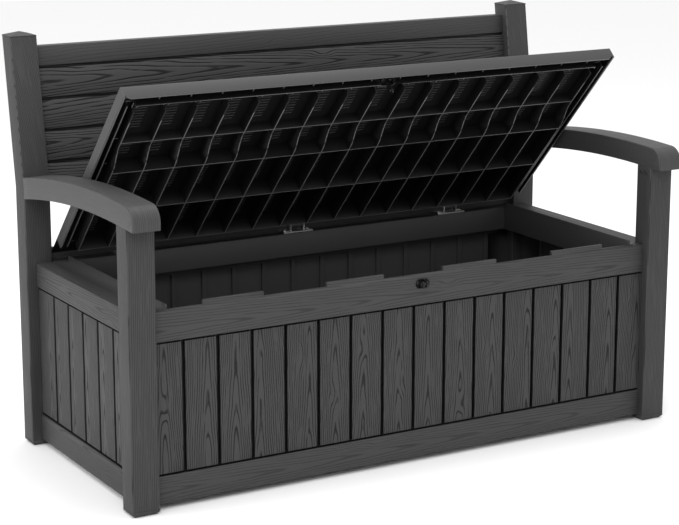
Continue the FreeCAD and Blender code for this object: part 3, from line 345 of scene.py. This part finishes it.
def wall_finish(name, along_wall, outward, inward_by, plank_top, middle, seed):
    """Upright grain on the planks, level grain on the rails, painted shade that makes the grooves
    black, and plain resin inside.
    """
    f = Finish(name)
    level = along_wall(f) - middle
    on_rail = f.z.above(plank_top) + f.z.below(PLANK_FOOT)
    plank = (level / PLANK_PITCH + PLANKS_BEFORE_MIDDLE).whole()
    plank_middle = (plank - PLANKS_BEFORE_MIDDLE + 0.5) * PLANK_PITCH
    upright = wood_grain(f, f.z - PLANK_MIDDLE, level - plank_middle, plank, spacing=0.0045, arch=0.085,
                         wander=2.5, seed=seed)
    across_rail = f.z - TOP_RAIL_MIDDLE + f.z.below(PLANK_FOOT) * (TOP_RAIL_MIDDLE - FOOT_RAIL_MIDDLE)
    sawn = wood_grain(f, level, across_rail, f.z.above(BETWEEN_RAILS), spacing=0.0050, arch=0.16,
                      wander=2.4, seed=seed + 3.0, stretch=2.0)
    line = upright * (1.0 - on_rail) + sawn * on_rail * RAIL_LINE_STRENGTH
    from_joint = abs(level - (level / PLANK_PITCH + 0.5).whole() * PLANK_PITCH)
    upright_groove = from_joint.below(UPRIGHT_GROOVE_HALF) * (1.0 - on_rail)
    level_groove = (abs(f.z - PLANK_FOOT - LEVEL_GROOVE_INSET).below(LEVEL_GROOVE_HALF)
                    + abs(f.z - plank_top + LEVEL_GROOVE_INSET).below(LEVEL_GROOVE_HALF))
    # Painted shade: this mask covers the grooves' walls and floors, which are coloured near black.
    groove_shade = (upright_groove + level_groove).above(0.5) * inward_by(f).above(GROOVE_START)
    return resin(f, line * outward(f).above(0.5), depth=0.0006, groove_shade=groove_shade * outward(f).above(-0.5))


front_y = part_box("front_panel")[0].y
front_resin = wall_finish("front_resin", lambda f: f.x, lambda f: -f.ny, lambda f: f.y - front_y,
                          PLANK_TOP, middle=0.0, seed=2.0)
fit_piece("front_panel", "front_wall", front_resin, "panel_resin", ease=0.0009)

# ---- Back wall and hinge ledge ----
# The same resin moulding without tabs, with an upstand behind the seat. The separate ledge inside it
# carries the hinges.
back_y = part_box("back_panel")[1].y
back_resin = wall_finish("back_resin", lambda f: f.x, lambda f: f.ny, lambda f: back_y - f.y,
                         PLANK_TOP, middle=0.0, seed=31.0)
fit_piece("back_panel", "back_wall", back_resin, "panel_resin", ease=0.0009)


MOTTLE_STRENGTH = 0.05


def plain_resin(name, ridge=RIDGE_GREY):
    """Resin with no grain, only a faint mottle."""
    f = Finish(name)
    return resin(f, f.noise(f.place, scale=240.0) * MOTTLE_STRENGTH, depth=0.0003, ridge=ridge)


ledge_resin = plain_resin("ledge_resin")
fit_piece("back_ledge", "rear_ledge", ledge_resin, "panel_resin", ease=0.0008)

# ---- End walls and side ledges ----
# Each is one resin moulding, six planks between two rails. A wide separate ledge inside its top ends
# in a standing lip.
END_PLANK_TOP = 0.358
for side, sign, seed in (("left", -1.0, 57.0), ("right", 1.0, 83.0)):
    low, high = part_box("end_panel_" + side)
    face_x = max(abs(low.x), abs(high.x))
    end_resin = wall_finish(side + "_end_resin", lambda f: f.y, lambda f: f.nx * sign,
                            lambda f: face_x - abs(f.x), END_PLANK_TOP, (low.y + high.y) / 2, seed)
    fit_piece("end_panel_" + side, side + "_end_wall", end_resin, "panel_resin", ease=0.0009)
    fit_piece("end_ledge_" + side, side + "_side_ledge", ledge_resin, "panel_resin", ease=0.0008)

# ---- Box floor ----
# A near-black resin tray, moulded with stiffening ribs. It rests on the flanges inside the four
# walls.
tray_resin = plain_resin("tray_resin", (0.020, 0.020, 0.021, 1.0))
fit_piece("floor_panel", "box_floor", tray_resin, "floor_resin", ease=0.0008)

# ---- Posts, caps and feet ----
# Square hollow resin posts with fine straight grain, each plugged at the foot. The rear pair lean
# back above the seat and carry low pyramid caps.
POST_LINE_STRENGTH, END_FACING = 0.72, 0.8
f = Finish("post_resin")
post_number = f.x.above(0.0) + f.y.above(0.0) * 2.0
straight = wood_grain(f, f.z, (f.x + f.y).fraction() - 0.5, post_number, spacing=0.0038, arch=0.30,
                      wander=2.0, seed=9.0, stretch=2.0)
on_end = abs(f.nz).above(END_FACING)
post_resin = resin(f, straight * (1.0 - on_end) * POST_LINE_STRENGTH, depth=0.0005)
for side in ("left", "right"):
    fit_piece("front_post_" + side, side + "_front_post", post_resin, "frame_resin", ease=0.0007)
    fit_piece("rear_post_" + side, side + "_rear_post", post_resin, "frame_resin", ease=0.0007)
    fit_piece("post_cap_" + side, side + "_post_cap", post_resin, "frame_resin", ease=0.0012, sharp=8.0)
    fit_piece("foot_front_" + side, side + "_front_foot", post_resin, "foot_resin", ease=0.0008)
    fit_piece("foot_rear_" + side, side + "_rear_foot", post_resin, "foot_resin", ease=0.0008)

# ---- Armrests ----
# Curved hollow resin boards with a rounded nose, closed by a cover beneath and screwed to the posts.
# Straight fine grain runs over the top and down the nose.
ARM_CROWN_Y, ARM_RADIUS = -0.1724, 2.3
TOP_LINE_STRENGTH, SIDE_LINE_LOSS, SIDE_FACING = 0.62, 0.4, 0.7
f = Finish("arm_resin")
from_crown = f.y - ARM_CROWN_Y
arc_height = f.z + from_crown * from_crown / (2.0 * ARM_RADIUS)
on_side = abs(f.nx).above(SIDE_FACING)
across_arm = (f.x + 2.0).fraction() - 0.5 + on_side * arc_height
arm_line = wood_grain(f, f.y, across_arm, f.x.above(0.0) + on_side * 2.0, spacing=0.0038, arch=0.30,
                      wander=1.6, seed=17.0, stretch=2.0)
arm_resin = resin(f, arm_line * (TOP_LINE_STRENGTH - on_side * SIDE_LINE_LOSS), depth=0.0004,
                  ridge=(0.050, 0.050, 0.051, 1.0))
for side in ("left", "right"):
    fit_piece("armrest_" + side, side + "_armrest", arm_resin, "frame_resin", ease=0.0006)
    fit_piece("armrest_cover_" + side, side + "_armrest_underside", arm_resin, "frame_resin",
              ease=0.0006)

# ---- Backrest ----
# Two hollow resin shells, front and rear, with four boards under a plain top rail. Grain runs along
# the boards, and painted shade makes the grooves between them black.
RAIL_FOOT, BOARD_PITCH, BOARD_GROOVE = 0.829, 0.06725, 0.0082
BACK_FACE, BACK_THICK, LEAN, LEAN_FROM = 0.249575, 0.024, 0.15, 0.575
GROOVE_TOP, GROOVE_FLOOR = 0.0016, 0.0085
RAIL_LINE_LOSS, RAIL_MARGIN, BOARD_FACING, BOARDS_ABOVE = 0.8, 0.002, 0.7, 3.0
f = Finish("backrest_resin")
down_boards = (RAIL_FOOT - f.z) / BOARD_PITCH + BOARDS_ABOVE
board = down_boards.whole()
board_middle = RAIL_FOOT - (board - BOARDS_ABOVE + 0.5) * BOARD_PITCH
board_line = wood_grain(f, f.x, f.z - board_middle, board, spacing=0.0062, arch=0.13, wander=3.6,
                        seed=41.0, stretch=2.2)
on_rail = f.z.above(RAIL_FOOT - RAIL_MARGIN)
outer_face = abs(f.ny).above(BOARD_FACING)
from_face = f.y - BACK_FACE - (f.z - LEAN_FROM).larger(0.0) * LEAN
under_face = from_face.smaller(BACK_THICK - from_face)
board_groove = down_boards.fraction().below(BOARD_GROOVE / BOARD_PITCH)
# Painted shade: the board grooves are coloured near black.
groove_shade = board_groove * under_face.above(GROOVE_TOP) * under_face.below(GROOVE_FLOOR)
backrest_resin = resin(f, board_line * outer_face * (1.0 - on_rail * RAIL_LINE_LOSS), depth=0.0009,
                       contrast=0.95, groove_shade=groove_shade)
fit_piece("backrest_front_shell", "backrest_front", backrest_resin, "backrest_resin", ease=0.0009)
fit_piece("backrest_rear_shell", "backrest_rear", backrest_resin, "backrest_resin", ease=0.0009)

# ---- Seat lid ----
# Plain graphite resin outside, with shallow board grooves. Beneath, it carries a grid of deep ribs,
# with painted shade making it near black and a painted highlight on the ribs' lower edges. It stands
# open on its hinges.
HINGE_Y, HINGE_Z, OPEN = 0.236875, 0.429, math.radians(46.5)
SEAT_TOP, LID_HALF, LID_FRONT = 0.437, 0.601, -0.318425
SKIRT_MARGIN, LID_SKIN, RIB_START = 0.0005, 0.0035, 0.008
# Strength and facing of the painted highlight on the ribs' lower edges.
RIB_HIGHLIGHT_STRENGTH, RIB_HIGHLIGHT_FACING = 0.9, 0.85
# After the top colour come painted shade for the underside and a painted highlight for the ribs' lower
# edges.
LID_GREY, CELL_PAINTED_SHADE, RIB_PAINTED_HIGHLIGHT = (0.048, 0.048, 0.049, 1.0), grey(0.0032), grey(0.13)
f = Finish("lid_resin")
from_y, from_z = f.y - HINGE_Y, f.z - HINGE_Z
closed_y = from_y * math.cos(OPEN) - from_z * math.sin(OPEN) + HINGE_Y
closed_z = from_y * math.sin(OPEN) + from_z * math.cos(OPEN) + HINGE_Z
downward = -(f.ny * math.sin(OPEN) + f.nz * math.cos(OPEN))
within_skirts = abs(f.x).below(LID_HALF - SKIRT_MARGIN) * closed_y.above(LID_FRONT + SKIRT_MARGIN)
# Painted shade inside the skirts; painted highlight on the ribs' downward-facing lower edges.
inside = within_skirts * closed_z.below(SEAT_TOP - LID_SKIN)
rib_highlight = downward.above(RIB_HIGHLIGHT_FACING) * closed_z.below(SEAT_TOP - RIB_START) * inside
top_or_painted_shade = f.blend(inside, LID_GREY, CELL_PAINTED_SHADE)
lid_colour = f.blend(rib_highlight * RIB_HIGHLIGHT_STRENGTH, top_or_painted_shade, RIB_PAINTED_HIGHLIGHT)
lid_resin = f.apply(lid_colour, roughness=0.44 + skin_texture(f) * 0.1, height=skin_texture(f),
                    depth=0.00006)
fit_piece("lid_panel", "seat_lid", lid_resin, "lid_resin", "lid", ease=0.0005)

# Fine raised bars hatch the floor of every cell between the ribs.
RIB_PITCH, RIBS_PER_SIDE = 0.0705, 8
ROWS = (0.031, 0.153, 0.237, 0.374, 0.511)
BAR_PITCH, BAR_MARGIN, BAR_SHIFT, BAR_DEPTH = 0.0088, 0.010, -0.009, 0.0042
SMALLEST_BAR, FULL_BAR, FIRST_SEED = (0.82, 1.0, 0.6), (1.0, 1.0, 1.0), 3
bar_inputs = (("Bar Length", "Float", 0.034), ("Bar Width", "Float", 0.0014),
              ("Bar Height", "Float", 0.0020), ("Bar Pitch", "Float", BAR_PITCH),
              ("Cell Pitch", "Float", RIB_PITCH), ("Bars", "Int", 10),
              ("Cells", "Int", 2 * RIBS_PER_SIDE), ("Seed", "Int", FIRST_SEED),
              ("First Bar", "Vector", (0.0, 0.0, 0.0)), ("Resin", "Material", lid_resin))
hatching = Workings(bpy.data.node_groups.new("cell_hatching", "GeometryNodeTree"))
sockets = hatching.tree.interface
sockets.new_socket(name="Geometry", in_out="OUTPUT", socket_type="NodeSocketGeometry")
for label, kind, start in bar_inputs:
    socket = sockets.new_socket(name=label, in_out="INPUT", socket_type="NodeSocket" + kind)
    socket.default_value = start
given = {label: hatching.node("NodeGroupInput", output=label) for label, kind, start in bar_inputs}
bar_step = hatching.node("ShaderNodeCombineXYZ", {}, {"Y": given["Bar Pitch"]})
column = hatching.node("GeometryNodeMeshLine", {"mode": "OFFSET"},
                       {"Count": given["Bars"], "Offset": bar_step})
cell_step = hatching.node("ShaderNodeCombineXYZ", {}, {"X": given["Cell Pitch"]})
cells = hatching.node("GeometryNodeMeshLine", {"mode": "OFFSET"},
                      {"Count": given["Cells"], "Offset": cell_step,
                       "Start Location": given["First Bar"]})
columns = hatching.node("GeometryNodeInstanceOnPoints", {}, {"Points": cells, "Instance": column})
points = hatching.node("GeometryNodeRealizeInstances", {}, {"Geometry": columns})
size = hatching.node("ShaderNodeCombineXYZ", {},
                     {"X": given["Bar Length"], "Y": given["Bar Width"], "Z": given["Bar Height"]})
bar = hatching.node("GeometryNodeMeshCube", {}, {"Size": size})
spread = hatching.node("FunctionNodeRandomValue", {"data_type": "FLOAT_VECTOR"},
                       {"Min": SMALLEST_BAR, "Max": FULL_BAR, "Seed": given["Seed"]})
bars = hatching.node("GeometryNodeInstanceOnPoints", {},
                     {"Points": points, "Instance": bar, "Scale": spread})
solid = hatching.node("GeometryNodeRealizeInstances", {}, {"Geometry": bars})
painted = hatching.node("GeometryNodeSetMaterial", {}, {"Geometry": solid, "Material": given["Resin"]})
hatching.node("NodeGroupOutput", {}, {"Geometry": painted})


def grown(tree, name, inputs):
    """Run a geometry tree once and keep its result as a plain mesh object."""
    blank = bpy.data.objects.new(name + "_seed", bpy.data.meshes.new(name + "_seed"))
    scene.collection.objects.link(blank)
    modifier = blank.modifiers.new("grow", "NODES")
    modifier.node_group = tree
    for item in tree.interface.items_tree:
        if item.item_type == "SOCKET" and item.in_out == "INPUT" and item.name in inputs:
            modifier[item.identifier] = inputs[item.name]
    evaluated = blank.evaluated_get(bpy.context.evaluated_depsgraph_get())
    mesh = bpy.data.meshes.new_from_object(evaluated)
    mesh.name = name
    bpy.data.objects.remove(blank)
    piece = bpy.data.objects.new(name, mesh)
    scene.collection.objects.link(piece)
    return piece


f = Finish("hatch_resin")
hatch_resin = f.apply(grey(0.055), roughness=0.5 + skin_texture(f) * 0.1, height=skin_texture(f),
                      depth=0.00004)
to_hinge = Matrix.Translation((0, HINGE_Y, HINGE_Z))
swing_open = to_hinge @ Matrix.Rotation(-OPEN, 4, "X") @ to_hinge.inverted()
for number, (near, far) in enumerate(zip(ROWS, ROWS[1:])):
    bars_here = int((far - near - 2 * BAR_MARGIN) / BAR_PITCH)
    first = (-(RIBS_PER_SIDE - 0.5) * RIB_PITCH + BAR_SHIFT, LID_FRONT + near + BAR_MARGIN,
             SEAT_TOP - BAR_DEPTH)
    hatch = grown(hatching.tree, f"lid_hatching_{number + 1}",
                  {"Bars": bars_here, "First Bar": first, "Resin": hatch_resin,
                   "Seed": FIRST_SEED + number})
    hatch.data.transform(swing_open)
    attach(hatch, "lid")

# ---- Hinges and screws ----
# Zinc-plated steel brackets, screwed to the hinge ledge; headed pins held by clips, turning in nylon
# bushes. The other screws and the armrest bolts are blackened steel.
ZINC_DULL, ZINC_BRIGHT = grey(0.50), (0.64, 0.63, 0.60, 1.0)
NYLON_DARK, NYLON_LIGHT = (0.70, 0.69, 0.64, 1.0), (0.78, 0.77, 0.73, 1.0)
BRUSHED_ALONG, BRUSHED_ACROSS = 60.0, 900.0
f = Finish("zinc_steel")
strokes = f.vector(f.x * BRUSHED_ALONG, f.y * BRUSHED_ACROSS, f.z * BRUSHED_ACROSS)
brushing = f.noise(strokes, detail=3.0)
zinc_steel = f.apply(f.blend(brushing, ZINC_DULL, ZINC_BRIGHT), roughness=0.28 + brushing * 0.2,
                     height=brushing, depth=0.00004)
f.shader.inputs["Metallic"].default_value = 1.0
f = Finish("bush_nylon")
bush_nylon = f.apply(f.blend(f.noise(f.place, scale=90.0), NYLON_DARK, NYLON_LIGHT), roughness=0.5,
                     height=skin_texture(f), depth=0.00005)


def refinish(node, material):
    """A CAD node that stays as it is gets its finish."""
    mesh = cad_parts[node].data
    mesh.materials.clear()
    mesh.materials.append(material)


for place in ("left", "middle", "right"):
    fit_piece("hinge_bracket_" + place, place + "_hinge_bracket", zinc_steel, "steel", ease=0.0004,
              shortest=0.006)
    refinish("hinge_pin_" + place, zinc_steel)
    refinish("hinge_bush_" + place, bush_nylon)
for node in ("pin_clips", "bracket_screws"):
    refinish(node, zinc_steel)
f = Finish("blackened_steel")
pitting = f.noise(f.place, scale=400.0)
blackened_steel = f.apply(f.blend(pitting, grey(0.018), grey(0.028)), roughness=0.42, height=pitting,
                          depth=0.00003)
for node in ("latch_screws", "corner_screws", "armrest_screws", "armrest_bolts"):
    refinish(node, blackened_steel)

# ---- Dowels ----
# Plain resin pegs, pushed into the ends of the backrest, where they are hidden. They join its
# shells to the rear posts.
f = Finish("peg_resin")
peg_grey = f.blend(f.noise(f.place, scale=60.0), grey(0.035), grey(0.05))
peg_resin = f.apply(peg_grey, roughness=0.5, height=skin_texture(f), depth=0.00005)
refinish("backrest_dowels", peg_resin)

# ---- Lock ----
# A glossy black bowl with two pierced lugs, set in the front rail. The tongue under the lid drops
# between the lugs, where a padlock holds it.
f = Finish("gloss_black")
flecks = f.noise(f.place, scale=300.0)
gloss_black = f.apply(f.blend(flecks, grey(0.006), grey(0.012)), roughness=0.12 + flecks * 0.05,
                      height=flecks, depth=0.00002)
fit_piece("lock_eye", "lock_bowl", gloss_black, "lock_black", ease=0.0004, shortest=0.0015)
fit_piece("latch_tongue", "lock_tongue", gloss_black, "lock_black", "lid", ease=0.0004, shortest=0.002)
